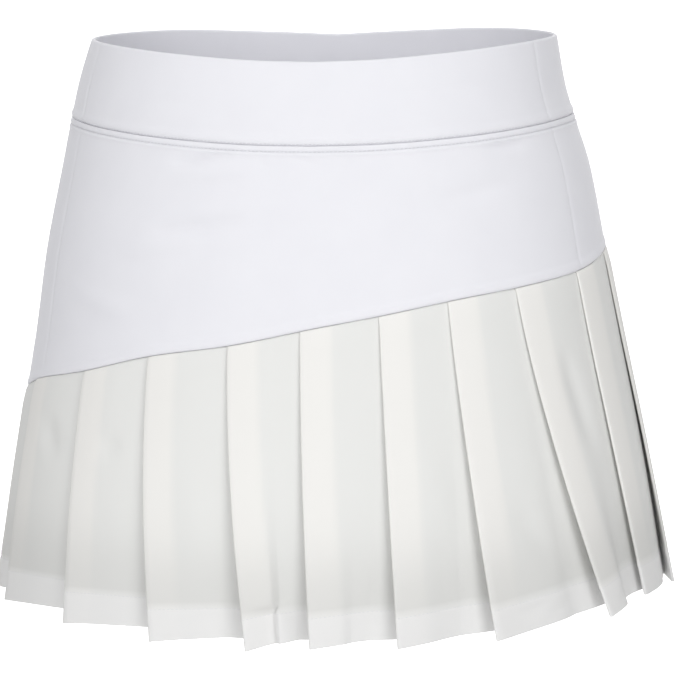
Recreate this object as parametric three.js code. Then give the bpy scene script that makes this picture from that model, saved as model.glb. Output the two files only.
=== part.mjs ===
// A pleated sports skort, worn form with no wearer: a wide knit waistband, a smooth knit yoke whose
// lower edge runs diagonally, a knife-pleated woven skirt below it and knit shorts inside.
// Millimetres, +Z up, the front faces -Y. The origin is the centre of the waist opening, halfway up
// the waistband. Every piece is a wall of cloth, set out as a grid of stations round the body form.
import * as THREE from "three";

// Driving sizes
const SEAM_GAP = 0.3; // between pieces that are sewn together
const BAND_THICKNESS = 2.6; // two layers of knit
const KNIT_THICKNESS = 1.2;
const SHORTS_THICKNESS = 1.1;
const PLEAT_THICKNESS = 1; // one layer of the pleated cloth
const LAYER_STEP = 1.35; // from one pleat layer's middle to the next
const FACE_MIDDLE = 12; // from where a pleat's face turns in back to its middle
const PLEAT_UNDERLAY = 17; // how far a pleat's inner fold reaches past the next outer fold
const BAND_TILT = 1.5; // the waist edges stand this much higher at the wearer's left side

// Angles run round the body in degrees: 0 at the centre front, 90 at the wearer's left (+X),
// 180 at the centre back and -90 at the wearer's right (-X).
const SIDE_SEAM_RIGHT = -68;
const SIDE_SEAM_LEFT = 65;

// The body form: at each height, the reach to the wearer's right (-X) and left (+X), front and back
const FORM = [
  { height: 32, right: 138, left: 137, front: 97, back: 98 },
  { height: 0, right: 147, left: 142, front: 102, back: 105 },
  { height: -25, right: 153, left: 150, front: 106, back: 111 },
  { height: -50, right: 158, left: 158, front: 109, back: 117 },
  { height: -100, right: 168, left: 168, front: 115, back: 128 },
  { height: -150, right: 175, left: 178, front: 120, back: 134 },
  { height: -200, right: 183, left: 188, front: 127, back: 139 },
  { height: -250, right: 189, left: 197, front: 135, back: 145 },
  { height: -325, right: 194, left: 209, front: 145, back: 153 },
];

// The waistband's edges: both dip at the centre front, and a little at the centre back
const BAND_EDGES = [
  { angle: 0, top: 17, seam: -31 },
  { angle: 15, top: 18, seam: -30.3 },
  { angle: 35, top: 21, seam: -27.5 },
  { angle: 55, top: 24, seam: -24 },
  { angle: 75, top: 26, seam: -21 },
  { angle: 100, top: 27, seam: -20 },
  { angle: 135, top: 27.5, seam: -21 },
  { angle: 160, top: 25, seam: -23 },
  { angle: 180, top: 22.5, seam: -24.5 },
];

// The yoke's diagonal lower edge, and the skirt's hem line under it
const SKIRT_EDGES = [
  { angle: -180, seam: -150, hem: -310 },
  { angle: -150, seam: -164, hem: -310 },
  { angle: -120, seam: -182, hem: -309 },
  { angle: -100, seam: -189, hem: -308 },
  { angle: -85, seam: -186, hem: -307 },
  { angle: -70, seam: -177, hem: -307 },
  { angle: -50, seam: -167, hem: -307 },
  { angle: -33, seam: -155, hem: -310 },
  { angle: -15, seam: -146, hem: -313 },
  { angle: 0, seam: -136, hem: -313 },
  { angle: 14, seam: -128, hem: -313 },
  { angle: 29, seam: -120, hem: -311 },
  { angle: 46, seam: -114, hem: -306 },
  { angle: 65, seam: -108, hem: -300 },
  { angle: 82, seam: -101, hem: -300 },
  { angle: 98, seam: -98, hem: -302 },
  { angle: 118, seam: -105, hem: -305 },
  { angle: 148, seam: -126, hem: -308 },
  { angle: 180, seam: -150, hem: -310 },
];

// Knife pleats, each row one outer fold: its angle at the seam and at the hem, and at the hem how far
// it has slid open, how far it stands off the body and how far its corner hangs below the hem line
const FRONT_PLEATS = [
  { seam: -72, hem: -71, open: 3, lift: 6, drop: 4 },
  { seam: -50, hem: -47, open: 3, lift: 7, drop: 6 },
  { seam: -33, hem: -27.5, open: 3, lift: 7, drop: 6 },
  { seam: -16, hem: -10, open: 12, lift: 10, drop: 5 },
  { seam: -2, hem: 0.5, open: 7, lift: 8, drop: 3.5 },
  { seam: 13, hem: 14, open: 14, lift: 10, drop: 3 },
  { seam: 27, hem: 30, open: 16, lift: 11, drop: 3 },
  { seam: 43, hem: 53, open: 15, lift: 11, drop: 3.5 },
];
const BACK_PLEATS = [
  { seam: 63, hem: 66.5, open: 5, lift: 6, drop: 1 },
  { seam: 83, hem: 86, open: 8, lift: 8, drop: 2 },
  { seam: 103, hem: 106, open: 6, lift: 7, drop: 3 },
  { seam: 122, hem: 125, open: 12, lift: 10, drop: 4 },
  { seam: 139, hem: 142, open: 8, lift: 8, drop: 3 },
  { seam: 155, hem: 157, open: 13, lift: 10, drop: 4 },
  { seam: 170, hem: 173, open: 6, lift: 7, drop: 3 },
  { seam: 185, hem: 187, open: 9, lift: 9, drop: 3.5 },
  { seam: 200, hem: 203, open: 14, lift: 11, drop: 4 },
  { seam: 216, hem: 218, open: 7, lift: 8, drop: 3 },
  { seam: 232, hem: 236, open: 11, lift: 9, drop: 5 },
  { seam: 250, hem: 253, open: 5, lift: 7, drop: 4 },
  { seam: 269, hem: 271, open: 6, lift: 7, drop: 4 },
];

// The inner shorts: where the two halves' crotch seam has got to at each height (as a part of the
// depth), how far the medial walls stand from the middle, and how far each leg is its own round tube
const SHORTS = [
  { height: -190, crotch: 1, medial: 0.15, leg: 0, side: 160, front: 112, back: 126 },
  { height: -210, crotch: 0.8, medial: 0.15, leg: 0, side: 160, front: 110, back: 123 },
  { height: -222, crotch: 0.5, medial: 0.15, leg: 0.1, side: 160, front: 108, back: 120 },
  { height: -230, crotch: 0, medial: 0.3, leg: 0.3, side: 160, front: 106, back: 116 },
  { height: -242, crotch: 0, medial: 3, leg: 0.7, side: 160, front: 104, back: 110 },
  { height: -275, crotch: 0, medial: 9, leg: 1, side: 160, front: 102, back: 104 },
];
const SHORTS_EASE = 2.5; // how far the shorts lie inside the form, below the waistband

const radians = THREE.MathUtils.degToRad;

// Value of a column at a key, smooth through a table's rows
function tableValue(table, keyName, column, key) {
  const last = table.length - 1;
  const rising = table[last][keyName] > table[0][keyName];
  let i = 0;
  while (i < last - 1 && (rising ? key > table[i + 1][keyName] : key < table[i + 1][keyName])) i++;
  const [before, from, to, after] = [i - 1, i, i + 1, i + 2].map((n) => table[Math.min(Math.max(n, 0), last)]);
  const span = to[keyName] - from[keyName];
  const u = Math.min(Math.max((key - from[keyName]) / span, 0), 1);
  const slopeFrom = (span * (to[column] - before[column])) / (to[keyName] - before[keyName]);
  const slopeTo = (span * (after[column] - from[column])) / (after[keyName] - from[keyName]);
  const [u2, u3] = [u * u, u * u * u];
  return (
    (2 * u3 - 3 * u2 + 1) * from[column] +
    (u3 - 2 * u2 + u) * slopeFrom +
    (3 * u2 - 2 * u3) * to[column] +
    (u3 - u2) * slopeTo
  );
}

// An angle brought into -180 to 180
function wrapped(angle) {
  return ((((angle + 180) % 360) + 360) % 360) - 180;
}

function bandEdge(name, angle) {
  const turned = wrapped(angle);
  return tableValue(BAND_EDGES, "angle", name, Math.abs(turned)) + BAND_TILT * Math.sin(radians(turned));
}

function skirtEdge(name, angle) {
  return tableValue(SKIRT_EDGES, "angle", name, wrapped(angle));
}

// A point of the form at an angle and a height, moved out along the level normal
function formPoint(angle, height, out) {
  const [sine, cosine] = [Math.sin(radians(angle)), Math.cos(radians(angle))];
  const width = tableValue(FORM, "height", sine > 0 ? "left" : "right", height);
  const depth = tableValue(FORM, "height", cosine > 0 ? "front" : "back", height);
  const normal = new THREE.Vector2(sine / width, -cosine / depth).normalize();
  return new THREE.Vector3(width * sine + normal.x * out, -depth * cosine + normal.y * out, height);
}

// Turns degrees of angle into millimetres along the form, at an angle and a height
function millimetresPerDegree(angle, height) {
  return formPoint(angle - 0.5, height, 0).distanceTo(formPoint(angle + 0.5, height, 0));
}

// The closed mesh of a wall. Each row of the grid holds stations {outer, inner}, from the piece's
// top row down and from the wearer's right to left as seen from the front.
function wallGeometry(grid) {
  const rows = grid.length;
  const columns = grid[0].length;
  const positions = [];
  for (const side of ["outer", "inner"])
    for (const row of grid) for (const station of row) positions.push(...station[side].toArray());
  const outer = (i, j) => i * columns + j;
  const inner = (i, j) => rows * columns + outer(i, j);
  const indices = [];
  const quad = (a, b, c, d) => indices.push(a, b, c, a, c, d);
  for (let i = 0; i < rows - 1; i++) {
    for (let j = 0; j < columns - 1; j++) {
      quad(outer(i, j), outer(i + 1, j), outer(i + 1, j + 1), outer(i, j + 1));
      quad(inner(i, j), inner(i, j + 1), inner(i + 1, j + 1), inner(i + 1, j));
    }
    quad(outer(i, 0), inner(i, 0), inner(i + 1, 0), outer(i + 1, 0));
    const end = columns - 1;
    quad(outer(i, end), outer(i + 1, end), inner(i + 1, end), inner(i, end));
  }
  const bottom = rows - 1;
  for (let j = 0; j < columns - 1; j++) {
    quad(outer(0, j), outer(0, j + 1), inner(0, j + 1), inner(0, j));
    quad(outer(bottom, j), inner(bottom, j), inner(bottom, j + 1), outer(bottom, j + 1));
  }
  const geometry = new THREE.BufferGeometry();
  geometry.setAttribute("position", new THREE.Float32BufferAttribute(positions, 3));
  geometry.setIndex(indices);
  geometry.computeVertexNormals();
  return geometry;
}

const garment = new THREE.Group();
const knit = { color: 0xe8e7ee, roughness: 0.75, metalness: 0, flatShading: true };
const woven = { color: 0xefeeea, roughness: 0.85, metalness: 0, flatShading: true };

function addPiece(name, geometry, look) {
  const mesh = new THREE.Mesh(geometry, new THREE.MeshStandardMaterial(look));
  mesh.name = name;
  garment.add(mesh);
}

// Evenly spaced angles from one side seam to the next, half a seam gap in from each
function panelAngles(from, to, columns, height) {
  const first = from + SEAM_GAP / 2 / millimetresPerDegree(from, height);
  const last = to - SEAM_GAP / 2 / millimetresPerDegree(to, height);
  return Array.from({ length: columns + 1 }, (_, j) => first + ((last - first) * j) / columns);
}

// Waistband: doubled knit, its top edge folded round
function waistband(from, to, columns) {
  const profile = [
    { down: 0, outer: 0.5, inner: -0.5 },
    { down: 0.03, outer: BAND_THICKNESS / 2, inner: -BAND_THICKNESS / 2 },
    { down: 0.5, outer: BAND_THICKNESS / 2, inner: -BAND_THICKNESS / 2 },
    { down: 1, outer: BAND_THICKNESS / 2, inner: -BAND_THICKNESS / 2 },
  ];
  const angles = panelAngles(from, to, columns, 0);
  return wallGeometry(
    profile.map((row) =>
      angles.map((angle) => {
        const top = bandEdge("top", angle);
        const height = top + (bandEdge("seam", angle) - top) * row.down;
        return { outer: formPoint(angle, height, row.outer), inner: formPoint(angle, height, row.inner) };
      }),
    ),
  );
}

// Yoke: one layer of knit under the band's outer half, cut diagonally below
function yoke(from, to, columns) {
  const rows = 4;
  const outer = BAND_THICKNESS / 2;
  const angles = panelAngles(from, to, columns, -70);
  return wallGeometry(
    Array.from({ length: rows + 1 }, (_, i) =>
      angles.map((angle) => {
        const top = bandEdge("seam", angle) - SEAM_GAP;
        const height = top + (skirtEdge("seam", angle) - top) * (i / rows);
        return {
          outer: formPoint(angle, height, outer),
          inner: formPoint(angle, height, outer - KNIT_THICKNESS),
        };
      }),
    ),
  );
}

// One level of a pleated panel as the middle line of its cloth: each point has its angle, its
// distance out from the form and how far it hangs below the level
function pleatLine(pleats, nextPleat, down, heightAt) {
  const folds = [...pleats, nextPleat].map((pleat) => {
    const angle = pleat.seam + (pleat.hem - pleat.seam) * down ** 1.4;
    return {
      angle,
      scale: millimetresPerDegree(angle, heightAt(angle)),
      open: 2 + (pleat.open - 2) * down ** 1.5,
      lift: pleat.lift * down ** 1.5,
      drop: pleat.drop * down ** 2,
    };
  });
  const base = BAND_THICKNESS / 2 - KNIT_THICKNESS + PLEAT_THICKNESS / 2;
  const line = [];
  const add = (fold, past, out, drop) => line.push({ angle: fold.angle + past / fold.scale, out, drop });
  folds.forEach((fold, k) => {
    if (k > 0) {
      // the face before this fold bows a little, turns in, runs under it and ends at the inner fold
      add(fold, -fold.open - FACE_MIDDLE, base + LAYER_STEP + fold.lift * 0.3, 0);
      add(fold, -fold.open, base + fold.lift * 0.1, 0);
      add(fold, PLEAT_UNDERLAY, base, 0);
    }
    if (k === folds.length - 1) return;
    // back from the inner fold, round the outer fold and on across the pleat's face
    add(fold, PLEAT_UNDERLAY, base + LAYER_STEP, 0);
    add(fold, 0, base + LAYER_STEP + fold.lift, fold.drop);
    add(fold, 0, base + 2 * LAYER_STEP + fold.lift, fold.drop);
    add(fold, PLEAT_UNDERLAY + 1, base + 2 * LAYER_STEP + fold.lift * 0.55, fold.drop * 0.6);
  });
  return line;
}

// Moves a line sideways by half the cloth's thickness, mitred at its corners
function offsetLine(line, scaleAt, distance) {
  const flat = line.map((point) => new THREE.Vector2(point.angle * scaleAt(point.angle), point.out));
  return line.map((point, k) => {
    const towards = (a, b) => flat[b].clone().sub(flat[a]).normalize();
    const before = k > 0 ? towards(k - 1, k) : towards(k, k + 1);
    const after = k < line.length - 1 ? towards(k, k + 1) : before;
    const mitre = new THREE.Vector2(-before.y - after.y, before.x + after.x).normalize();
    const reach = distance / Math.max(mitre.dot(new THREE.Vector2(-before.y, before.x)), 0.5);
    return {
      angle: point.angle + (mitre.x * reach) / scaleAt(point.angle),
      out: point.out + mitre.y * reach,
      drop: point.drop,
    };
  });
}

// Pleated panel: from the inner fold before its first pleat to the inner fold after its last
function pleatedPanel(pleats, nextPleat) {
  const levels = [0, 0.15, 0.32, 0.5, 0.67, 0.84, 1];
  return wallGeometry(
    levels.map((down) => {
      const heightAt = (angle) => {
        const top = skirtEdge("seam", angle) - SEAM_GAP;
        return top + (skirtEdge("hem", angle) - top) * down;
      };
      const meanScale = millimetresPerDegree(pleats[0].seam + 30, heightAt(pleats[0].seam + 30));
      const line = pleatLine(pleats, nextPleat, down, heightAt);
      const side = (distance) =>
        offsetLine(line, () => meanScale, distance).map((point) =>
          formPoint(point.angle, heightAt(point.angle) - point.drop, point.out),
        );
      const outer = side(PLEAT_THICKNESS / 2);
      const inner = side(-PLEAT_THICKNESS / 2);
      return outer.map((point, k) => ({ outer: point, inner: inner[k] }));
    }),
  );
}

// Points at even steps along a path of points
function evenly(path, steps) {
  const lengths = [0];
  for (let k = 1; k < path.length; k++) lengths.push(lengths[k - 1] + path[k].distanceTo(path[k - 1]));
  return Array.from({ length: steps + 1 }, (_, n) => {
    const want = (lengths[lengths.length - 1] * n) / steps;
    let k = 1;
    while (k < path.length - 1 && lengths[k] < want) k++;
    const part = (want - lengths[k - 1]) / (lengths[k] - lengths[k - 1]);
    return path[k - 1].clone().lerp(path[k], Math.min(part, 1));
  });
}

// One half of the shorts at a level, from the front crotch edge round the side to the back one. It
// is drawn for the wearer's left (+X) and mirrored for the right.
function shortsLine(level) {
  const fine = 24;
  const trunk = (depth, sign) => {
    const edge = Math.max(depth * level.crotch, SEAM_GAP / 2);
    const path = level.crotch < 1 ? [new THREE.Vector2(level.medial, sign * edge)] : [];
    for (let k = 0; k <= fine; k++) {
      const turn = (Math.PI / 2) * (k / fine);
      const across = level.medial + (level.side - level.medial) * Math.sin(turn);
      path.push(new THREE.Vector2(across, sign * depth * Math.cos(turn)));
    }
    return evenly(path, 12);
  };
  const leg = (depth, sign) => {
    const middle = (level.side + level.medial) / 2;
    const path = [];
    for (let k = 0; k <= fine; k++) {
      const turn = Math.PI * (k / fine);
      const reach = (level.side - level.medial) / 2;
      const away = Math.max(depth * Math.sin(turn), SEAM_GAP / 2);
      path.push(new THREE.Vector2(middle - reach * Math.cos(turn), sign * away));
    }
    return evenly(path, 12);
  };
  const blend = (depth, sign) => trunk(depth, sign).map((point, k) => point.lerp(leg(depth, sign)[k], level.leg));
  const front = blend(level.front, -1);
  const back = blend(level.back, 1);
  return [...front, ...back.reverse().slice(1)];
}

// Shorts half: a trunk from the waistband seam down to the crotch, then a leg sewn along its inseam
function shortsHalf(sign) {
  const hipRows = 3;
  const angles = Array.from({ length: 25 }, (_, j) => 7.5 * j);
  const rows = [];
  for (let i = 0; i <= hipRows; i++) {
    const part = i / (hipRows + 1);
    rows.push(
      angles.map((angle) => {
        const top = bandEdge("seam", sign * angle) - SEAM_GAP;
        const height = top + (SHORTS[0].height - top) * part;
        const out = -BAND_THICKNESS / 2 + SHORTS_THICKNESS - SHORTS_EASE * Math.min(1, part * 4);
        const point = formPoint(sign * angle, height, out);
        const trim = Math.max(SEAM_GAP / 2, sign * point.x);
        return new THREE.Vector3(trim, point.y, height);
      }),
    );
  }
  for (const level of SHORTS) rows.push(shortsLine(level).map((point) => new THREE.Vector3(point.x, point.y, level.height)));
  const grid = rows.map((row) =>
    row.map((point, j) => {
      const from = row[Math.max(j - 1, 0)];
      const to = row[Math.min(j + 1, row.length - 1)];
      const normal = new THREE.Vector3(to.y - from.y, from.x - to.x, 0).normalize();
      const inner = point.clone().addScaledVector(normal, -SHORTS_THICKNESS);
      inner.x = Math.max(inner.x, SEAM_GAP / 2);
      return { outer: point, inner };
    }),
  );
  if (sign > 0) return wallGeometry(grid);
  const mirrored = ({ outer, inner }) => ({
    outer: new THREE.Vector3(-outer.x, outer.y, outer.z),
    inner: new THREE.Vector3(-inner.x, inner.y, inner.z),
  });
  return wallGeometry(grid.map((row) => row.map(mirrored).reverse()));
}

const WHOLE_TURN = 360;
addPiece("waistband_front", waistband(SIDE_SEAM_RIGHT, SIDE_SEAM_LEFT, 20), knit);
addPiece("waistband_back", waistband(SIDE_SEAM_LEFT, SIDE_SEAM_RIGHT + WHOLE_TURN, 32), knit);
addPiece("yoke_front", yoke(SIDE_SEAM_RIGHT, SIDE_SEAM_LEFT, 40), knit);
addPiece("yoke_back", yoke(SIDE_SEAM_LEFT, SIDE_SEAM_RIGHT + WHOLE_TURN, 64), knit);
addPiece("skirt_front", pleatedPanel(FRONT_PLEATS, BACK_PLEATS[0]), woven);
const firstAgain = { ...FRONT_PLEATS[0] };
firstAgain.seam += WHOLE_TURN;
firstAgain.hem += WHOLE_TURN;
addPiece("skirt_back", pleatedPanel(BACK_PLEATS, firstAgain), woven);
addPiece("shorts_left", shortsHalf(1), knit);
addPiece("shorts_right", shortsHalf(-1), knit);

export default garment;
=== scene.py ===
# A pleated sports skort in worn form: the looks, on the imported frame. Metres, +Z up, front at -Y.
import math
import bpy
import numpy as np
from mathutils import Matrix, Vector


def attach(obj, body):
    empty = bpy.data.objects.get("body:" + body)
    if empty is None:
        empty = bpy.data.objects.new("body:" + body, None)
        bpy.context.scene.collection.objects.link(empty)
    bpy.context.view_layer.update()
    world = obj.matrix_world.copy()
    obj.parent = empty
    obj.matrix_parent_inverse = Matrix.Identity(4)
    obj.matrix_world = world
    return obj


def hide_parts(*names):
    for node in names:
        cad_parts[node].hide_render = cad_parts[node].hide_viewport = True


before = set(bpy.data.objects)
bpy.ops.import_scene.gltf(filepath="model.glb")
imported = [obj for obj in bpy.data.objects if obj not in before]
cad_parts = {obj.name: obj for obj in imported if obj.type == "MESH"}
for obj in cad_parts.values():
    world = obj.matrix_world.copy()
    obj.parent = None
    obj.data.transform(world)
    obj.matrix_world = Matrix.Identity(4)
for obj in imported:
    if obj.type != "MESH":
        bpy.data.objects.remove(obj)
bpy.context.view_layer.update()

# ---------------------------------------------------------------------------------------------
# Waistband, front and back: doubled smooth knit, folded over at its top edge, with a puffed ridge
# where its lower edge is sewn to the yoke and its ends rolled in at the side seams. It lies on the
# worn form, as every panel after it does.

MM = 0.001  # sizes are millimetres, and meshes are in metres

# Angles are degrees round the body: 0 at the centre front, 90 at the wearer's left, which is +X.
SIDE_SEAM_RIGHT = -68
SIDE_SEAM_LEFT = 65
# How far the worn form reaches each way from its centre line, at each height.
FORM = [
    {"height": 32, "right": 138, "left": 137, "front": 97, "back": 98},
    {"height": 0, "right": 147, "left": 142, "front": 102, "back": 105},
    {"height": -25, "right": 153, "left": 150, "front": 106, "back": 111},
    {"height": -50, "right": 158, "left": 158, "front": 109, "back": 117},
    {"height": -100, "right": 168, "left": 168, "front": 115, "back": 128},
    {"height": -150, "right": 175, "left": 178, "front": 120, "back": 134},
    {"height": -200, "right": 183, "left": 188, "front": 127, "back": 139},
    {"height": -250, "right": 189, "left": 197, "front": 135, "back": 145},
    {"height": -325, "right": 194, "left": 209, "front": 145, "back": 153},
]
# The band's top edge and its seam to the yoke, alike on both sides but for the tilt.
BAND_EDGES = [
    {"angle": 0, "top": 17, "seam": -31},
    {"angle": 15, "top": 18, "seam": -30.3},
    {"angle": 35, "top": 21, "seam": -27.5},
    {"angle": 55, "top": 24, "seam": -24},
    {"angle": 75, "top": 26, "seam": -21},
    {"angle": 100, "top": 27, "seam": -20},
    {"angle": 135, "top": 27.5, "seam": -21},
    {"angle": 160, "top": 25, "seam": -23},
    {"angle": 180, "top": 22.5, "seam": -24.5},
]
BAND_TILT = 1.5  # how much higher the band sits at the wearer's left
BAND_HALF = 1.3  # half its thickness
BAND_HEIGHT = 46
BAND_BULGE = 0.6
INNER_BULGE = 0.4  # share of the bulge that shows inside
BAND_ROUND = 2.6  # millimetres round the band for a degree, near enough to lay out the knit
FOLD_ROWS = 7
BODY_ROWS = 30
FOLD_CREST = 0.25  # half the width of the fold's very top
FOLD_PLAIN = 1.0  # the fold stays evenly round down to this half width
BAND_LINES = [
    {"at": 2.8, "out": 0.7, "width": 1.6},  # the puffed ridge
    {"at": 0, "out": -0.5, "width": 0.8},  # pulled in by the seam
]
BAND_CREASES = [
    {"start": (17, -1), "end": (48, 3), "width": 2.2, "depth": -0.35},
    {"start": (-20, -9), "end": (-46, -6), "width": 2.5, "depth": -0.2},
    {"start": (120, 2), "end": (160, -2), "width": 2.5, "depth": -0.35},
    {"start": (215, -4), "end": (248, 1), "width": 2.5, "depth": -0.3},
]
SEAM_ROLL = 1.6  # how near a side seam the cloth starts to roll in
SEAM_DIP = 0.25


def column(table, key, name, at):
    """A table column's value at any keys, smooth through the rows."""
    rows = sorted(table, key=lambda row: row[key])
    x = np.array([row[key] for row in rows], float)
    y = np.array([row[name] for row in rows], float)
    slope = np.empty_like(y)
    slope[1:-1] = (y[2:] - y[:-2]) / (x[2:] - x[:-2])
    slope[0] = (y[1] - y[0]) / (x[1] - x[0])
    slope[-1] = (y[-1] - y[-2]) / (x[-1] - x[-2])
    at = np.asarray(at, float)
    i = np.clip(np.searchsorted(x, at) - 1, 0, len(x) - 2)
    span = x[i + 1] - x[i]
    u = np.clip((at - x[i]) / span, 0, 1)
    return (
        (2 * u**3 - 3 * u**2 + 1) * y[i]
        + (u**3 - 2 * u**2 + u) * span * slope[i]
        + (3 * u**2 - 2 * u**3) * y[i + 1]
        + (u**3 - u**2) * span * slope[i + 1]
    )


def wrapped(angle):
    return (np.asarray(angle, float) + 180) % 360 - 180


def band_edge(name, angle):
    turned = wrapped(angle)
    return column(BAND_EDGES, "angle", name, np.abs(turned)) + BAND_TILT * np.sin(np.radians(turned))


def form_points(angle, height, out):
    """Points of the form in millimetres, moved out along its level normal."""
    angle, height, out = np.broadcast_arrays(np.asarray(angle, float), height, out)
    sine, cosine = np.sin(np.radians(angle)), np.cos(np.radians(angle))
    reach = {name: column(FORM, "height", name, height) for name in ("left", "right", "front", "back")}
    width = np.where(sine > 0, reach["left"], reach["right"])
    depth = np.where(cosine > 0, reach["front"], reach["back"])
    nx, ny = sine / width, -cosine / depth
    size = np.hypot(nx, ny)
    return np.stack([width * sine + nx / size * out, -depth * cosine + ny / size * out, height], -1)


def per_degree(angle, height):
    """Millimetres along the form for one degree of angle."""
    step = form_points(np.asarray(angle) + 0.5, height, 0) - form_points(np.asarray(angle) - 0.5, height, 0)
    return np.linalg.norm(step, axis=-1)


def soft_line(distance, width):
    """1 on a line, falling off softly over this width."""
    return np.exp(-((distance / width) ** 2))


def ridges(lines, distance):
    """How far the cloth stands out along lines at set distances from a seam or hem."""
    return sum(line["out"] * soft_line(distance - line["at"], line["width"]) for line in lines)


def crease_line(angle, height, start, end, width):
    """1 on a straight crease between two (angle, height) places, falling off softly round it."""
    px, py = (angle - start[0]) * BAND_ROUND, height - start[1]
    dx, dy = (end[0] - start[0]) * BAND_ROUND, end[1] - start[1]
    along = (px * dx + py * dy) / (dx * dx + dy * dy)
    across = np.abs(px * dy - py * dx) / math.hypot(dx, dy)
    fade = np.clip(1 - (2 * along - 1) ** 2, 0, 1) ** 1.2
    return fade * soft_line(across, width)


def crease_depth(creases, angle, height):
    """How far listed creases move the cloth out, or in where they are troughs."""
    total = np.zeros(np.broadcast(angle, height).shape)
    for crease in creases:
        total += crease["depth"] * crease_line(angle, height, crease["start"], crease["end"], crease["width"])
    return total


def panel_angles(first, last, columns):
    """Even angles, closer together by the side seams."""
    even = np.linspace(0, 1, columns)
    ends = np.array([0.0008, 0.0018, 0.003, 0.0045])
    return first + (last - first) * np.unique(np.concatenate([even, ends, 1 - ends]))


def seam_roll(angle, first, last, height):
    """How far the cloth dips at its two side seams."""
    near = np.minimum(angle - first, last - angle) * per_degree(angle, height)
    return -SEAM_DIP * soft_line(near, SEAM_ROLL)


def wall_object(name, outer, inner, cloth_map, masks, material, node, slot):
    """A closed wall of cloth between an outer and an inner grid of points, with its own flat map in
    millimetres and named masks, standing for one piece of the frame."""
    rows, columns, _ = outer.shape
    count = rows * columns
    ids = np.arange(count).reshape(rows, columns)
    vertices = np.concatenate([outer.reshape(-1, 3), inner.reshape(-1, 3)]) * MM
    faces = []

    def quads(a, b, c, d):
        faces.extend(np.stack([a.ravel(), b.ravel(), c.ravel(), d.ravel()], -1).tolist())

    quads(ids[:-1, :-1], ids[1:, :-1], ids[1:, 1:], ids[:-1, 1:])
    low = ids + count
    quads(low[:-1, :-1], low[:-1, 1:], low[1:, 1:], low[1:, :-1])
    quads(ids[:-1, 0], low[:-1, 0], low[1:, 0], ids[1:, 0])
    quads(ids[:-1, -1], ids[1:, -1], low[1:, -1], low[:-1, -1])
    quads(ids[0, :-1], ids[0, 1:], low[0, 1:], low[0, :-1])
    quads(ids[-1, :-1], low[-1, :-1], low[-1, 1:], ids[-1, 1:])
    mesh = bpy.data.meshes.new(name)
    mesh.from_pydata(vertices.tolist(), [], faces)
    mesh.shade_smooth()
    flat_map = np.concatenate([cloth_map.reshape(-1, 2)] * 2)
    layer = mesh.uv_layers.new(name="cloth")
    corner = np.empty(len(mesh.loops), np.int32)
    mesh.loops.foreach_get("vertex_index", corner)
    layer.data.foreach_set("uv", flat_map[corner].astype(np.float32).ravel())
    for mask_name, values in masks.items():
        attribute = mesh.attributes.new(mask_name, "FLOAT", "POINT")
        both = np.concatenate([np.broadcast_to(values, (rows, columns)).ravel()] * 2)
        attribute.data.foreach_set("value", both.astype(np.float32))
    mesh.materials.append(material)
    obj = bpy.data.objects.new(name, mesh)
    bpy.context.scene.collection.objects.link(obj)
    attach(obj, "root")
    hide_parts(node)
    return obj


def node_group(name, inputs, outputs):
    group = bpy.data.node_groups.new(name, "ShaderNodeTree")
    for socket_name, kind in inputs:
        group.interface.new_socket(socket_name, in_out="INPUT", socket_type=kind)
    for socket_name, kind in outputs:
        group.interface.new_socket(socket_name, in_out="OUTPUT", socket_type=kind)
    return group, group.nodes.new("NodeGroupInput"), group.nodes.new("NodeGroupOutput")


def math_node(tree, operation, first, second=None):
    node = tree.nodes.new("ShaderNodeMath")
    node.operation = operation
    for socket, value in zip(node.inputs, (first, second)):
        if value is None:
            continue
        if isinstance(value, (int, float)):
            socket.default_value = value
        else:
            tree.links.new(value, socket)
    return node.outputs[0]


def wave(tree, vector, direction, period, distortion=0.0):
    """Bands of a period in millimetres across the cloth map."""
    node = tree.nodes.new("ShaderNodeTexWave")
    node.bands_direction = direction
    node.inputs["Scale"].default_value = math.pi / 10 / period
    node.inputs["Distortion"].default_value = distortion
    node.inputs["Detail"].default_value = 0
    tree.links.new(vector, node.inputs["Vector"])
    return node.outputs["Fac"]


def cloud(tree, vector, size, detail=2.0):
    """Soft noise of about this size in millimetres."""
    node = tree.nodes.new("ShaderNodeTexNoise")
    node.inputs["Scale"].default_value = 1 / size
    node.inputs["Detail"].default_value = detail
    tree.links.new(vector, node.inputs["Vector"])
    return node.outputs["Fac"]


def thread_group(name, across, down, wander):
    """Height and tone of a cloth whose threads have these periods in millimetres."""
    fuzz_size, fuzz_height, fuzz_tone = 0.4, 0.35, 0.3
    shade_size, shade_tone = 28.0, 0.7
    group, given, result = node_group(
        name, [("Map", "NodeSocketVector")], [("Height", "NodeSocketFloat"), ("Tone", "NodeSocketFloat")]
    )
    vector = given.outputs["Map"]
    ribs = wave(group, vector, "X", across, wander)
    courses = wave(group, vector, "Y", down, wander)
    threads = math_node(group, "MULTIPLY", ribs, courses)
    fuzz = cloud(group, vector, fuzz_size)
    height = math_node(group, "ADD", threads, math_node(group, "MULTIPLY", fuzz, fuzz_height))
    group.links.new(height, result.inputs["Height"])
    shade = math_node(group, "MULTIPLY", cloud(group, vector, shade_size), shade_tone)
    tone = math_node(group, "ADD", shade, math_node(group, "MULTIPLY", fuzz, fuzz_tone))
    group.links.new(tone, result.inputs["Tone"])
    return group


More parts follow.
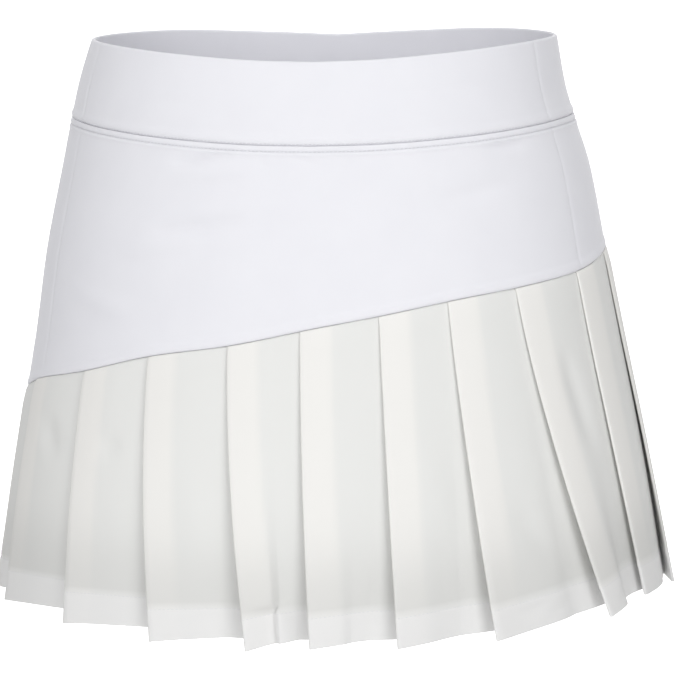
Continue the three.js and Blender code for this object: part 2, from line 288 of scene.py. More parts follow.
def cloth_material(name, threads, dark, light, roughness, sheen, bump, extra=None):
    """A cloth of these threads, mottled between two tones, with extra tones for its own layers."""
    material = bpy.data.materials.new(name)
    material.use_nodes = True
    tree = material.node_tree
    shader = tree.nodes["Principled BSDF"]
    cloth_map = tree.nodes.new("ShaderNodeUVMap")
    cloth_map.uv_map = "cloth"
    use = tree.nodes.new("ShaderNodeGroup")
    use.node_tree = threads
    tree.links.new(cloth_map.outputs["UV"], use.inputs["Map"])
    tone = tree.nodes.new("ShaderNodeMix")
    tone.data_type = "RGBA"
    tone.inputs["A"].default_value = (*dark, 1)
    tone.inputs["B"].default_value = (*light, 1)
    tree.links.new(use.outputs["Tone"], tone.inputs["Factor"])
    colour = tone.outputs["Result"]
    if extra:
        colour = extra(tree, colour)
    tree.links.new(colour, shader.inputs["Base Color"])
    relief = tree.nodes.new("ShaderNodeBump")
    relief.inputs["Strength"].default_value = bump
    relief.inputs["Distance"].default_value = 0.0001
    tree.links.new(use.outputs["Height"], relief.inputs["Height"])
    tree.links.new(relief.outputs["Normal"], shader.inputs["Normal"])
    shader.inputs["Roughness"].default_value = roughness
    shader.inputs["Sheen Weight"].default_value = sheen
    shader.inputs["Sheen Roughness"].default_value = 0.45
    shader.inputs["Specular IOR Level"].default_value = 0.3
    return material


KNIT_THREADS = thread_group("knit_threads", across=0.55, down=0.42, wander=0.35)
KNIT = cloth_material(
    "knit",
    KNIT_THREADS,
    dark=(0.80, 0.80, 0.845),
    light=(0.85, 0.85, 0.89),
    roughness=0.6,
    sheen=0.25,
    bump=0.12,
)


def add_band(name, first, last, columns):
    angle = panel_angles(first, last, columns)[None, :]
    fold = np.radians(90 * np.linspace(0, 1, FOLD_ROWS))[:, None]  # from its crest down
    body = np.linspace(0, 1, BODY_ROWS + 1)[1:, None]
    top, seam = band_edge("top", angle), band_edge("seam", angle)
    height = np.concatenate([
        top - BAND_HALF * (1 - np.cos(fold)),
        top - BAND_HALF + (seam - top + BAND_HALF) * body,
    ])
    reach = np.concatenate([np.maximum(BAND_HALF * np.sin(fold), FOLD_CREST), np.full(body.shape, BAND_HALF)])
    bulge = BAND_BULGE * np.sin(np.pi * np.clip((height - seam) / BAND_HEIGHT, 0, 1))
    shape = bulge + ridges(BAND_LINES, height - seam)
    shape = shape + crease_depth(BAND_CREASES, angle, height) + seam_roll(angle, first, last, height)
    outer = form_points(angle, height, reach + shape * (reach > FOLD_PLAIN))
    inner = form_points(angle, height, -reach + INNER_BULGE * bulge)
    cloth_map = np.stack([np.broadcast_to((angle - first) * BAND_ROUND, height.shape), height], -1)
    obj = wall_object(name + "_cloth", outer, inner, cloth_map, {}, KNIT, name, "knit")


add_band("waistband_front", SIDE_SEAM_RIGHT, SIDE_SEAM_LEFT, 150)
add_band("waistband_back", SIDE_SEAM_LEFT, SIDE_SEAM_RIGHT + 360, 230)

# ---------------------------------------------------------------------------------------------
# Yoke, front and back: one layer of smooth knit. A flat sewn strip lies under the band, soft drag
# lines run from the seams, and the diagonal lower edge has its seam allowance turned up behind it.

# Where the yoke is sewn to the skirt, and the skirt's hem, all the way round.
SKIRT_EDGES = [
    {"angle": -180, "seam": -150, "hem": -310},
    {"angle": -150, "seam": -164, "hem": -310},
    {"angle": -120, "seam": -182, "hem": -309},
    {"angle": -100, "seam": -189, "hem": -308},
    {"angle": -85, "seam": -186, "hem": -307},
    {"angle": -70, "seam": -177, "hem": -307},
    {"angle": -50, "seam": -167, "hem": -307},
    {"angle": -33, "seam": -155, "hem": -310},
    {"angle": -15, "seam": -146, "hem": -313},
    {"angle": 0, "seam": -136, "hem": -313},
    {"angle": 14, "seam": -128, "hem": -313},
    {"angle": 29, "seam": -120, "hem": -311},
    {"angle": 46, "seam": -114, "hem": -306},
    {"angle": 65, "seam": -108, "hem": -300},
    {"angle": 82, "seam": -101, "hem": -300},
    {"angle": 98, "seam": -98, "hem": -302},
    {"angle": 118, "seam": -105, "hem": -305},
    {"angle": 148, "seam": -126, "hem": -308},
    {"angle": 180, "seam": -150, "hem": -310},
]
YOKE_OUT = 1.3
YOKE_THICKNESS = 0.9
YOKE_ROUND = 2.8  # millimetres round the yoke for a degree, near enough to lay out the knit
STRIP = 3.4  # height of the sewn strip under the band
STRIP_PROUD = 0.3
STRIP_ROWS = np.linspace(0, 6.5, 14)[:, None]
YOKE_TOP_LINES = [
    {"at": STRIP, "out": -0.75, "width": 0.5},  # the groove that the stitches pull in
    {"at": STRIP + 1.5, "out": 0.4, "width": 0.9},  # the cloth swelling below it
    {"at": 0, "out": -0.3, "width": 0.5},
]
ALLOWANCE = 5.0  # height of the ridge along the diagonal edge
ALLOWANCE_PROUD = 0.45
ALLOWANCE_ROWS = np.linspace(8, 0, 14)[:, None]
YOKE_EDGE_LINES = [{"at": 0, "out": -0.8, "width": 0.7}]
YOKE_CREASES = [
    {"start": (-33, -43), "end": (-17, -36), "width": 2.4, "depth": -1.98},
    {"start": (-34, -52), "end": (-12, -43), "width": 4.5, "depth": 1.08},
    {"start": (-35, -85), "end": (-13, -73), "width": 4.5, "depth": -1.8},
    {"start": (-44, -96), "end": (-22, -86), "width": 5.0, "depth": 0.72},
    {"start": (39, -34), "end": (55, -31), "width": 2.4, "depth": -1.62},
    {"start": (24, -64), "end": (48, -52), "width": 5.0, "depth": -0.72},
    {"start": (-5, -37), "end": (2, -41), "width": 1.4, "depth": -0.72},
    {"start": (-12, -36), "end": (-9, -46), "width": 1.5, "depth": -0.54},
    {"start": (-60, -120), "end": (-36, -132), "width": 6.0, "depth": 0.9},
    {"start": (110, -42), "end": (150, -60), "width": 5.0, "depth": -1.26},
    {"start": (150, -90), "end": (205, -98), "width": 7.0, "depth": -1.08},
    {"start": (215, -48), "end": (250, -64), "width": 5.0, "depth": -1.08},
    {"start": (230, -120), "end": (262, -136), "width": 6.0, "depth": 1.08},
]


def skirt_edge(name, angle):
    return column(SKIRT_EDGES, "angle", name, wrapped(angle))


def soft_edge(distance, width):
    """1 short of an edge and 0 past it, changing softly over this width."""
    return 1 / (1 + np.exp(distance / width))


def add_yoke(name, first, last, columns):
    angle = panel_angles(first, last, columns)[None, :]
    top = band_edge("seam", angle) - 0.15
    bottom = skirt_edge("seam", angle) + 0.1
    upper, lower = top - STRIP_ROWS, bottom + ALLOWANCE_ROWS
    middle = upper[-1:] + (lower[:1] - upper[-1:]) * np.linspace(0, 1, 46)[1:-1, None]
    height = np.concatenate([upper, middle, lower])
    strip = STRIP_PROUD * (top - height < STRIP) + ridges(YOKE_TOP_LINES, top - height)
    allowance = ALLOWANCE_PROUD * soft_edge(height - bottom - ALLOWANCE, 0.5)
    allowance = allowance + ridges(YOKE_EDGE_LINES, height - bottom)
    shape = strip + allowance + crease_depth(YOKE_CREASES, angle, height)
    shape = shape + seam_roll(angle, first, last, height)
    outer = form_points(angle, height, YOKE_OUT + shape)
    inner = form_points(angle, height, YOKE_OUT - YOKE_THICKNESS + np.minimum(shape, 0) * 0.8)
    cloth_map = np.stack([np.broadcast_to((angle - first) * YOKE_ROUND, height.shape), height], -1)
    obj = wall_object(name + "_cloth", outer, inner, cloth_map, {}, KNIT, name, "knit")


add_yoke("yoke_front", SIDE_SEAM_RIGHT, SIDE_SEAM_LEFT, 170)
add_yoke("yoke_back", SIDE_SEAM_LEFT, SIDE_SEAM_RIGHT + 360, 260)

# ---------------------------------------------------------------------------------------------
# Cover stitch that joins band and yoke: soft thread, one row on each side of the seam, pulled a
# little into the cloth. Each stitch is a small long ball of thread, set at even steps.

THREAD = cloth_material(
    "thread",
    KNIT_THREADS,
    dark=(0.66, 0.66, 0.69),
    light=(0.74, 0.74, 0.77),
    roughness=0.5,
    sheen=0.1,
    bump=0.05,
)


def stitch_tree():
    """Geometry nodes that put one stitch at every step along a line."""
    tree = bpy.data.node_groups.new("stitches", "GeometryNodeTree")
    tree.interface.new_socket("Line", in_out="INPUT", socket_type="NodeSocketGeometry")
    for name in ("Spacing", "Length", "Width"):
        tree.interface.new_socket(name, in_out="INPUT", socket_type="NodeSocketFloat")
    tree.interface.new_socket("Material", in_out="INPUT", socket_type="NodeSocketMaterial")
    tree.interface.new_socket("Stitches", in_out="OUTPUT", socket_type="NodeSocketGeometry")
    given, result = tree.nodes.new("NodeGroupInput"), tree.nodes.new("NodeGroupOutput")

    def linked(kind, **inputs):
        node = tree.nodes.new(kind)
        for socket, source in inputs.items():
            tree.links.new(source, node.inputs[socket.replace("_", " ")])
        return node

    curve = linked("GeometryNodeMeshToCurve", Mesh=given.outputs["Line"])
    steps = linked("GeometryNodeResampleCurve", Curve=curve.outputs["Curve"])
    steps.mode = "LENGTH"
    tree.links.new(given.outputs["Spacing"], steps.inputs["Length"])
    tangent = tree.nodes.new("GeometryNodeInputTangent")
    turned = linked("FunctionNodeAlignRotationToVector", Vector=tangent.outputs["Tangent"])
    turned.axis = "Z"
    size = linked(
        "ShaderNodeCombineXYZ",
        X=given.outputs["Width"],
        Y=given.outputs["Width"],
        Z=given.outputs["Length"],
    )
    ball = tree.nodes.new("GeometryNodeMeshUVSphere")
    ball.inputs["Segments"].default_value = 6
    ball.inputs["Rings"].default_value = 4
    ball.inputs["Radius"].default_value = 0.5
    placed = linked(
        "GeometryNodeInstanceOnPoints",
        Points=steps.outputs["Curve"],
        Instance=ball.outputs["Mesh"],
        Rotation=turned.outputs["Rotation"],
        Scale=size.outputs["Vector"],
    )
    real = linked("GeometryNodeRealizeInstances", Geometry=placed.outputs["Instances"])
    coloured = linked(
        "GeometryNodeSetMaterial",
        Geometry=real.outputs["Geometry"],
        Material=given.outputs["Material"],
    )
    tree.links.new(coloured.outputs["Geometry"], result.inputs["Stitches"])
    return tree


STITCHES = stitch_tree()


def stitch_row(name, points, spacing, length, width):
    """A row of stitches along points given in millimetres, left as a plain mesh."""
    line = bpy.data.meshes.new(name + "_line")
    line.from_pydata((np.asarray(points) * MM).tolist(), [(i, i + 1) for i in range(len(points) - 1)], [])
    obj = bpy.data.objects.new(name, line)
    bpy.context.scene.collection.objects.link(obj)
    modifier = obj.modifiers.new("stitches", "NODES")
    modifier.node_group = STITCHES
    values = {"Spacing": spacing * MM, "Length": length * MM, "Width": width * MM, "Material": THREAD}
    for item in STITCHES.interface.items_tree:
        if item.in_out == "INPUT" and item.name in values:
            modifier[item.identifier] = values[item.name]
    bpy.context.view_layer.update()
    evaluated = obj.evaluated_get(bpy.context.evaluated_depsgraph_get())
    mesh = bpy.data.meshes.new_from_object(evaluated)
    obj.modifiers.clear()
    obj.data = mesh
    mesh.shade_smooth()
    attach(obj, "root")


for row_name, above_seam, out in (("upper", 0.9, BAND_HALF + 0.05), ("lower", -STRIP, YOKE_OUT - 0.3)):
    seam_angle = np.linspace(-180, 180, 400)
    seam_line = form_points(seam_angle, band_edge("seam", seam_angle) + above_seam, out)
    stitch_row("band_stitches_" + row_name, seam_line, spacing=2.4, length=1.8, width=0.4)

# ---------------------------------------------------------------------------------------------
# Pleated skirt, front and back: fine woven cloth in knife pleats, pressed flat at the yoke and
# sliding open towards a turned-up, stitched hem. Each row of a table is one outer fold.

SKIRT_OUT = 0.1
WOVEN_THICKNESS = 0.6
UNDERLAY = 17  # how far a pleat runs in under the one before it
HEM = 17  # height of the turned-up hem
HEM_LAYER = 0.35  # what the turned-up layer adds to the thickness
PRESSED_OPEN = 2  # how far a pleat is open at the yoke
PRESSED_STEP = 0.55  # from one layer to the next at the yoke
EASED_STEP = 0.4  # added to it within EASED_WITHIN of the yoke
EASED_WITHIN = 10
HEM_STEP = 0.6  # added to it by the hem
FACE_END = 12  # where a face starts to run in under the next pleat
LIFT_PAST_UNDERLAY = 0.55  # shares of a pleat's lift along its face
LIFT_NEAR_END = 0.3
LIFT_HIDDEN = 0.1
SHORTS_END = 45  # height above the hem where the shorts stop backing the cloth; below it the cloth is painted darker as shade of the hollow seen through it
SKIRT_ROWS = np.concatenate([[0, 0.008, 0.02, 0.04], np.linspace(0.06, 1, 40)])
HEM_ROWS = (0.5, 1.0, 1.6, 2.4, 4, 6.5, 9, 11.5, 14, 16, 16.7, 17)
SKIRT_TOP_LINES = [{"at": 0, "out": -0.5, "width": 1.2}]
HEM_LINES = [{"at": HEM, "out": -0.3, "width": 0.7}]
FRONT_PLEATS = [
    {"seam": -72, "hem": -71, "open": 3, "lift": 6, "drop": 4},
    {"seam": -50, "hem": -47, "open": 3, "lift": 7, "drop": 6},
    {"seam": -33, "hem": -27.5, "open": 3, "lift": 7, "drop": 6},
    {"seam": -16, "hem": -10, "open": 12, "lift": 10, "drop": 5},
    {"seam": -2, "hem": 0.5, "open": 7, "lift": 8, "drop": 3.5},
    {"seam": 13, "hem": 14, "open": 14, "lift": 10, "drop": 3},
    {"seam": 27, "hem": 30, "open": 16, "lift": 11, "drop": 3},
    {"seam": 43, "hem": 53, "open": 15, "lift": 11, "drop": 3.5},
]
BACK_PLEATS = [
    {"seam": 63, "hem": 66.5, "open": 4, "lift": 4.5, "drop": 1},
    {"seam": 83, "hem": 86, "open": 3, "lift": 4, "drop": 2},
    {"seam": 103, "hem": 106, "open": 4, "lift": 5, "drop": 3},
    {"seam": 122, "hem": 125, "open": 12, "lift": 10, "drop": 4},
    {"seam": 139, "hem": 142, "open": 8, "lift": 8, "drop": 3},
    {"seam": 155, "hem": 157, "open": 13, "lift": 10, "drop": 4},
    {"seam": 170, "hem": 173, "open": 6, "lift": 7, "drop": 3},
    {"seam": 185, "hem": 187, "open": 9, "lift": 9, "drop": 3.5},
    {"seam": 200, "hem": 203, "open": 14, "lift": 11, "drop": 4},
    {"seam": 216, "hem": 218, "open": 7, "lift": 8, "drop": 3},
    {"seam": 232, "hem": 236, "open": 11, "lift": 9, "drop": 5},
    {"seam": 250, "hem": 253, "open": 5, "lift": 7, "drop": 4},
    {"seam": 269, "hem": 271, "open": 6, "lift": 7, "drop": 4},
]
DENTS = [
    {"start": (-62, -195), "end": (-56, -222), "width": 7, "depth": -1.6},
    {"start": (-42, -202), "end": (-38, -216), "width": 6, "depth": -1.2},
    {"start": (53, -150), "end": (58, -215), "width": 6, "depth": -2.4},
    {"start": (20, -200), "end": (24, -262), "width": 8, "depth": 0.9},
    {"start": (-22, -214), "end": (-20, -275), "width": 8, "depth": 0.8},
    {"start": (36, -235), "end": (44, -280), "width": 7, "depth": -1.2},
    {"start": (128, -190), "end": (134, -240), "width": 8, "depth": -1.6},
    {"start": (176, -210), "end": (178, -265), "width": 8, "depth": 1.2},
    {"start": (222, -215), "end": (228, -262), "width": 7, "depth": -1.4},
    {"start": (258, -225), "end": (262, -270), "width": 7, "depth": -1.2},
    {"start": (34, -301), "end": (42, -294), "width": 2.2, "depth": -0.7},
    {"start": (40, -303), "end": (48, -295), "width": 2.0, "depth": -0.6},
    {"start": (56, -298), "end": (62, -289), "width": 2.2, "depth": -0.7},
    {"start": (146, -303), "end": (152, -296), "width": 2.2, "depth": -0.6},
    {"start": (208, -304), "end": (214, -297), "width": 2.2, "depth": -0.6},
]


def mixed(tree, colour, mask_name, tint, amount):
    """The colour turned towards a tint where the named mask is 1."""
    mask = tree.nodes.new("ShaderNodeAttribute")
    mask.attribute_name = mask_name
    mix = tree.nodes.new("ShaderNodeMix")
    mix.data_type = "RGBA"
    mix.inputs["B"].default_value = (*tint, 1)
    tree.links.new(math_node(tree, "MULTIPLY", mask.outputs["Fac"], amount), mix.inputs["Factor"])
    tree.links.new(colour, mix.inputs["A"])
    return mix.outputs["Result"]


def painted_layer_light(tree, colour):
    """Painted light and shade of thin see-through cloth, not its own colour: one-layer cloth painted greyer,
    overlapping layers painted creamier and lighter, the doubled hem painted whiter, and painted shade where
    the dark hollow behind shows through.
    """
    colour = mixed(tree, colour, "single", (0.785, 0.79, 0.775), 0.8)
    colour = mixed(tree, colour, "stacked", (0.86, 0.85, 0.825), 0.8)
    colour = mixed(tree, colour, "unbacked", (0.64, 0.64, 0.625), 0.7)
    return mixed(tree, colour, "hem", (0.79, 0.788, 0.785), 0.85)


WEAVE_THREADS = thread_group("weave_threads", across=0.32, down=0.3, wander=0.15)
# The pleat cloth's own mottled tone, with painted light and shade of its layers mixed on top.
WOVEN = cloth_material(
    "pleat_cloth",
    WEAVE_THREADS,
    dark=(0.79, 0.785, 0.765),
    light=(0.83, 0.825, 0.805),
    roughness=0.7,
    sheen=0.12,
    bump=0.1,
    extra=painted_layer_light,
)


def pleat_folds(pleats, rest, inside_hem, above_hem):
    """Each outer fold's place at one level, and how far it has slid open, lifted and dropped there.
    rest is how far down the level is from the seam to the hem's top."""
    folds = []
    for pleat in pleats:
        length = skirt_edge("seam", pleat["seam"]) - skirt_edge("hem", pleat["hem"])
        down = 1 - above_hem / length if inside_hem else rest * (1 - HEM / length)
        angle = pleat["seam"] + (pleat["hem"] - pleat["seam"]) * down**1.4
        height = skirt_edge("seam", angle) - length * down
        folds.append({
            "angle": angle,
            "scale": float(per_degree(angle, height)),
            "open": PRESSED_OPEN + (pleat["open"] - PRESSED_OPEN) * down**1.5,
            "lift": pleat["lift"] * down**1.5,
            "drop": pleat["drop"] * down**2,
            "step": PRESSED_STEP + EASED_STEP * min(1, down * length / EASED_WITHIN) + HEM_STEP * down**3,
        })
    return folds


def pleat_row(folds):
    """One level of the cloth's middle line, in rows of angle, out, drop, and the two masks for painted shade
    on one-layer cloth and painted light on overlapping layers.
    """
    half_turn = np.radians(np.linspace(-90, 90, 5))
    base = SKIRT_OUT + WOVEN_THICKNESS / 2
    points = []

    def add(fold, past, out, drop, single, stacked):
        points.append((fold["angle"] + past / fold["scale"], out, drop, single, stacked))

    for place, (fold, after) in enumerate(zip(folds, folds[1:])):
        radius = fold["step"] / 2
        under = base + fold["step"] + fold["lift"]
        for turn in half_turn[1:] if place else half_turn[-1:]:  # the inner fold
            past = UNDERLAY - radius + radius * math.cos(turn)
            add(fold, past, base + radius + radius * math.sin(turn), 0, 0.5, 0.5)
        for u in np.linspace(0, 1, 7)[1:-1]:  # back out under the pleat
            past = UNDERLAY - radius + (2 * radius - UNDERLAY) * u
            add(fold, past, base + fold["step"] + fold["lift"] * u**1.2, fold["drop"] * u, 0.3, 0.7)
        for turn in half_turn:  # the outer fold
            past = radius - radius * math.cos(turn)
            add(fold, past, under + radius + radius * math.sin(turn), fold["drop"], 0, 1)
        start = fold["angle"] + radius / fold["scale"]
        end = after["angle"] - after["open"] / after["scale"]
        face = (end - start) * fold["scale"]
        past_underlay = base + 2 * fold["step"] + fold["lift"] * LIFT_PAST_UNDERLAY
        levels = [
            {"along": 0, "out": under + fold["step"]},
            {"along": (UNDERLAY + 1) / face, "out": past_underlay},
            {"along": 1 - FACE_END / face, "out": base + after["step"] + after["lift"] * LIFT_NEAR_END},
            {"along": 1, "out": base + after["lift"] * LIFT_HIDDEN},
        ]
        along = np.linspace(0, 1, 17)[1:]
        # painted light where another layer lies beneath the face, painted shade where the face is one layer
        stacked = soft_edge(along * face - UNDERLAY, 0.8)
        for part, level, mask in zip(along, column(levels, "along", "out", along), stacked):
            drop = fold["drop"] * (1 - part) ** 1.5
            points.append((start + (end - start) * part, level, drop, 1 - mask, mask))
        hidden = base + after["lift"] * LIFT_HIDDEN
        for u in np.linspace(0.2, 1, 5):  # the face's end, in under the next pleat
            past = -after["open"] + (after["open"] + UNDERLAY - after["step"] / 2) * u
            add(after, past, hidden + (base - hidden) * u, 0, 1, 0)
    return np.array(points)


def add_skirt(name, pleats, after):
    levels = [(False, rest, 0) for rest in SKIRT_ROWS]
    levels += [(True, 1, HEM - below) for below in HEM_ROWS]
    outer, inner, maps = [], [], []
    masks = {"single": [], "stacked": [], "hem": [], "unbacked": []}
    for inside, rest, above_hem in levels:
        angle, out, drop, single, stacked = pleat_row(pleat_folds(pleats + [after], rest, inside, above_hem)).T
        seam, hem = skirt_edge("seam", angle) - 0.1, skirt_edge("hem", angle)
        height = hem + above_hem if inside else seam + (hem + HEM - seam) * rest
        scale = per_degree(angle, height)
        run = np.concatenate([[0], np.cumsum(np.hypot(np.diff(angle) * scale[1:], np.diff(out)))])
        along, rise = np.gradient(angle * scale.mean()), np.gradient(out)
        size = np.hypot(along, rise)
        relief = ridges(HEM_LINES, height - hem) + ridges(SKIRT_TOP_LINES, seam - height)
        relief += crease_depth(DENTS, (angle + 90) % 360 - 90, height) * np.clip((seam - height) / 20, 0, 1)
        half = WOVEN_THICKNESS / 2
        doubled = HEM_LAYER if inside and above_hem < HEM - 0.8 else 0
        for side, reach in ((outer, half), (inner, -half - doubled)):
            turned = angle - rise / size * reach / scale
            side.append(form_points(turned, height - drop, out + along / size * reach + relief))
        maps.append(np.stack([run, height], -1))
        in_hem = soft_edge(height - hem - HEM, 0.35)
        # masks for painted shade on one-layer cloth and painted light on overlapping layers, the light fading
        # towards the hem
        masks["single"].append(single)
        masks["stacked"].append(stacked * np.clip((height - hem) / 14, 0.55, 1))
        # painted light: the doubled hem keeps a lighter tone, as its second layer hides the dark hollow behind
        masks["hem"].append(in_hem)
        # painted shade: below the shorts' hem the one-layer cloth is darkened for the dark hollow behind it
        masks["unbacked"].append(soft_edge(height - hem - SHORTS_END, 9) * (1 - in_hem))
    masks = {key: np.array(value) for key, value in masks.items()}
    grids = [np.array(grid) for grid in (outer, inner, maps)]
    obj = wall_object(name + "_cloth", *grids, masks, WOVEN, name, "pleat_cloth")
    seam_name = name.replace("skirt", "hem_stitches")
    stitch_row(seam_name, outer[len(SKIRT_ROWS)], spacing=2.6, length=1.9, width=0.28)


first_again = {**FRONT_PLEATS[0], "seam": FRONT_PLEATS[0]["seam"] + 360, "hem": FRONT_PLEATS[0]["hem"] + 360}
add_skirt("skirt_front", FRONT_PLEATS, BACK_PLEATS[0])
add_skirt("skirt_back", BACK_PLEATS, first_again)

# ---------------------------------------------------------------------------------------------
# Inner shorts, left and right: plain knit, sewn into the waistband seam, with a crotch seam, an
# inseam and a turned hem on each leg. They lie inside the skirt, clear of it.

SHORTS_LEVELS = [
    {"height": -190, "crotch": 1, "medial": 0.3, "leg": 0, "side": 160, "front": 112, "back": 126},
    {"height": -210, "crotch": 0.8, "medial": 0.3, "leg": 0, "side": 160, "front": 110, "back": 123},
    {"height": -222, "crotch": 0.5, "medial": 0.3, "leg": 0.1, "side": 160, "front": 108, "back": 120},
    {"height": -230, "crotch": 0, "medial": 0.4, "leg": 0.3, "side": 160, "front": 106, "back": 116},
    {"height": -242, "crotch": 0, "medial": 3, "leg": 0.7, "side": 160, "front": 104, "back": 110},
    {"height": -275, "crotch": 0, "medial": 9, "leg": 1, "side": 160, "front": 102, "back": 104},
]
# The heights of the rows, closer together round the hem's stitch line.
LEG_ROWS = np.concatenate([
    np.linspace(-190, -250, 24),
    np.linspace(-253, -261, 8),
    np.linspace(-262.5, -275, 8),
])
SHORTS_THICKNESS = 0.9
SHORTS_COLUMNS = 120
SHORTS_IN = 2.5  # how far inside the form they lie below the waistband seam
SHORTS_HEM_LAYER = 0.5
SHORTS_HEM_LINES = [{"at": 15, "out": -0.35, "width": 0.8}]
CENTRE_GAP = 0.3  # from the middle of the body
INSEAM_GAP = 0.15  # from the middle of a leg's front and back


def evenly(path, count):
    """Points at even steps along a path."""
    path = np.array(path)
    length = np.concatenate([[0], np.cumsum(np.linalg.norm(np.diff(path, axis=0), axis=1))])
    want = np.linspace(0, length[-1], count)
    return np.stack([np.interp(want, length, path[:, i]) for i in (0, 1)], -1)


def shorts_line(height):
    """One half's middle line at a level below the hips, front crotch edge round to the back one."""
    level = {name: float(column(SHORTS_LEVELS, "height", name, height)) for name in SHORTS_LEVELS[0]}
    medial, side = level["medial"], level["side"]
    middle, reach = (side + medial) / 2, (side - medial) / 2
    turn = np.linspace(0, math.pi / 2, 60)
    count = SHORTS_COLUMNS // 2 + 1
    blend = min(max(level["leg"], 0), 1)
    halves = []
    for depth, sign in ((level["front"], -1), (level["back"], 1)):
        edge = max(depth * min(level["crotch"], 0.999), INSEAM_GAP)
        hip = np.column_stack([medial + (side - medial) * np.sin(turn), sign * depth * np.cos(turn)])
        trunk = np.concatenate([[(medial, sign * edge)], hip])
        deep = np.maximum(depth * np.sin(2 * turn), INSEAM_GAP)
        leg = np.column_stack([middle - reach * np.cos(2 * turn), sign * deep])
        halves.append(evenly(trunk, count) * (1 - blend) + evenly(leg, count) * blend)
    return np.concatenate([halves[0], halves[1][::-1][1:]])


def add_shorts(name, sign):
    angle = np.linspace(0, 180, SHORTS_COLUMNS + 1)
    hips = SHORTS_LEVELS[0]["height"]
    top = band_edge("seam", sign * angle) - 0.3
    rows = []
    for part in np.linspace(0, 1, 30)[:-1]:
        height = top + (hips - top) * part
        points = form_points(sign * angle, height, -0.2 - SHORTS_IN * np.minimum(1, part * 5))
        points[:, 0] = np.maximum(np.abs(points[:, 0]), CENTRE_GAP)
        target = np.column_stack([shorts_line(hips), height])
        ease = np.clip((part - 0.75) / 0.25, 0, 1) ** 2
        rows.append(points * (1 - ease) + target * ease)
    for height in LEG_ROWS:
        rows.append(np.column_stack([shorts_line(height), np.full(SHORTS_COLUMNS + 1, height)]))
    middle = np.array(rows)
    along = np.gradient(middle, axis=1)
    normal = np.stack([along[..., 1], -along[..., 0], np.zeros(along.shape[:2])], -1)
    normal /= np.linalg.norm(normal, axis=2, keepdims=True)
    above_hem = middle[..., 2:] - SHORTS_LEVELS[-1]["height"]
    outer = middle + normal * ridges(SHORTS_HEM_LINES, above_hem)
    inner = middle - normal * (SHORTS_THICKNESS + SHORTS_HEM_LAYER * (above_hem < 14.5))
    for grid in (outer, inner):
        grid[..., 0] = np.maximum(grid[..., 0], CENTRE_GAP)
    steps = np.linalg.norm(np.diff(middle, axis=1), axis=2)
    run = np.concatenate([np.zeros((len(rows), 1)), np.cumsum(steps, axis=1)], 1)
    grids = [outer, inner, np.stack([run, middle[..., 2]], -1)]
    if sign < 0:
        mirror = np.array([-1, 1, 1])
        grids = [(grids[0] * mirror)[:, ::-1], (grids[1] * mirror)[:, ::-1], grids[2][:, ::-1]]
    obj = wall_object(name + "_cloth", *grids, {}, KNIT, name, "knit")


add_shorts("shorts_left", 1)
add_shorts("shorts_right", -1)

# ---------------------------------------------------------------------------------------------
# Set: a white wall behind and a pale floor far below, both seen from their front side only, a dim
# sky that is darker to the sides, two soft lights in front and a small one above.

WALL_Y = 1.3
WALL_HALF = 0.9
WALL_TOP = 0.7
FLOOR_Z = -0.95
FLOOR_HALF = 4.0
SKY = (0.66, 0.66, 0.66, 1)
SKY_SIDES = (0.1, 0.1, 0.102, 1)


def plane(name, corners, material):
    mesh = bpy.data.meshes.new(name)
    mesh.from_pydata(corners, [], [(0, 1, 2, 3)])
    mesh.materials.append(material)
    obj = bpy.data.objects.new(name, mesh)
    bpy.context.scene.collection.objects.link(obj)


def one_sided(name, colour, glow):
    """A surface that shows from its front only, so that it hides nothing from behind or below."""
    material = bpy.data.materials.new(name)
    material.use_nodes = True
    tree = material.node_tree
    shader = tree.nodes["Principled BSDF"]
    shader.inputs["Base Color"].default_value = colour
    shader.inputs["Emission Color"].default_value = (1, 1, 1, 1)
    shader.inputs["Emission Strength"].default_value = glow
    choice = tree.nodes.new("ShaderNodeMixShader")
    tree.links.new(tree.nodes.new("ShaderNodeNewGeometry").outputs["Backfacing"], choice.inputs[0])
    tree.links.new(shader.outputs[0], choice.inputs[1])
    tree.links.new(tree.nodes.new("ShaderNodeBsdfTransparent").outputs[0], choice.inputs[2])
    tree.links.new(choice.outputs[0], tree.nodes["Material Output"].inputs["Surface"])
    return material


white = one_sided("white_wall", (0.9, 0.9, 0.9, 1), 1.0)
pale = one_sided("pale_floor", (0.82, 0.82, 0.82, 1), 0.0)
wall_corners = ((-WALL_HALF, FLOOR_Z), (WALL_HALF, FLOOR_Z), (WALL_HALF, WALL_TOP), (-WALL_HALF, WALL_TOP))
plane("wall", [(x, WALL_Y, z) for x, z in wall_corners], white)
floor_corners = ((-1, -1), (1, -1), (1, 1), (-1, 1))
plane("floor", [(x * FLOOR_HALF, y * FLOOR_HALF, FLOOR_Z) for x, y in floor_corners], pale)

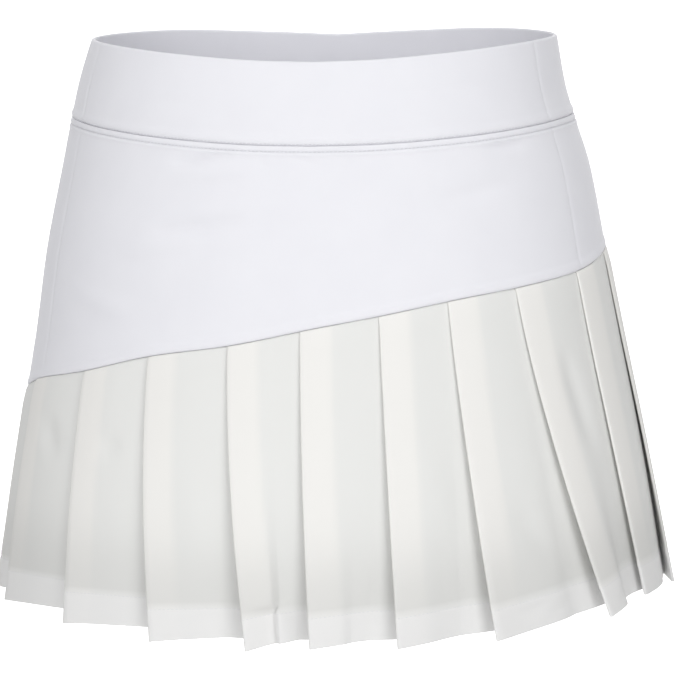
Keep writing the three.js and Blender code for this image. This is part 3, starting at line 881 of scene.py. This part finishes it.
world = bpy.data.worlds.new("studio")
world.use_nodes = True
sky = world.node_tree
direction = sky.nodes.new("ShaderNodeTexCoord").outputs["Generated"]
parts = sky.nodes.new("ShaderNodeSeparateXYZ")
sky.links.new(direction, parts.inputs[0])
sideways = math_node(sky, "POWER", math_node(sky, "ABSOLUTE", parts.outputs["X"]), 3.0)
shade = sky.nodes.new("ShaderNodeMix")
shade.data_type = "RGBA"
shade.inputs["A"].default_value = SKY
shade.inputs["B"].default_value = SKY_SIDES
sky.links.new(sideways, shade.inputs["Factor"])
sky.links.new(shade.outputs["Result"], sky.nodes["Background"].inputs["Color"])
bpy.context.scene.world = world


def soft_light(name, place, size, power):
    light = bpy.data.lights.new(name, "AREA")
    light.size = size
    light.energy = power
    obj = bpy.data.objects.new(name, light)
    obj.location = place
    obj.rotation_euler = (Vector((0, 0, -0.15)) - Vector(place)).to_track_quat("-Z", "Y").to_euler()
    bpy.context.scene.collection.objects.link(obj)


soft_light("key", (-1.3, -2.1, 0.7), 1.2, 17)
soft_light("fill", (1.4, -2.0, 0.4), 1.2, 17)
soft_light("top", (0, -0.2, 1.6), 0.6, 3)

# ---------------------------------------------------------------------------------------------
# Camera: a long lens a little above the waist, turned a little to the wearer's left.

CAMERA_TURN = math.radians(4.0)
CAMERA_DISTANCE = 2.3
CAMERA_HEIGHT = 0.15
AIM_HEIGHT = -0.158
AIM_ASIDE = 0.0085
right = Vector((math.cos(CAMERA_TURN), math.sin(CAMERA_TURN), 0))
ahead = Vector((-math.sin(CAMERA_TURN), math.cos(CAMERA_TURN), 0))
aim = right * AIM_ASIDE + Vector((0, 0, AIM_HEIGHT))
eye = right * AIM_ASIDE - ahead * CAMERA_DISTANCE + Vector((0, 0, CAMERA_HEIGHT))
camera = bpy.data.objects.new("camera", bpy.data.cameras.new("camera"))
camera.data.lens = 202
camera.data.sensor_width = 36
camera.location = eye
camera.rotation_euler = (aim - eye).to_track_quat("-Z", "Y").to_euler()
bpy.context.scene.collection.objects.link(camera)
bpy.context.scene.camera = camera
bpy.context.scene.view_settings.view_transform = "Standard"
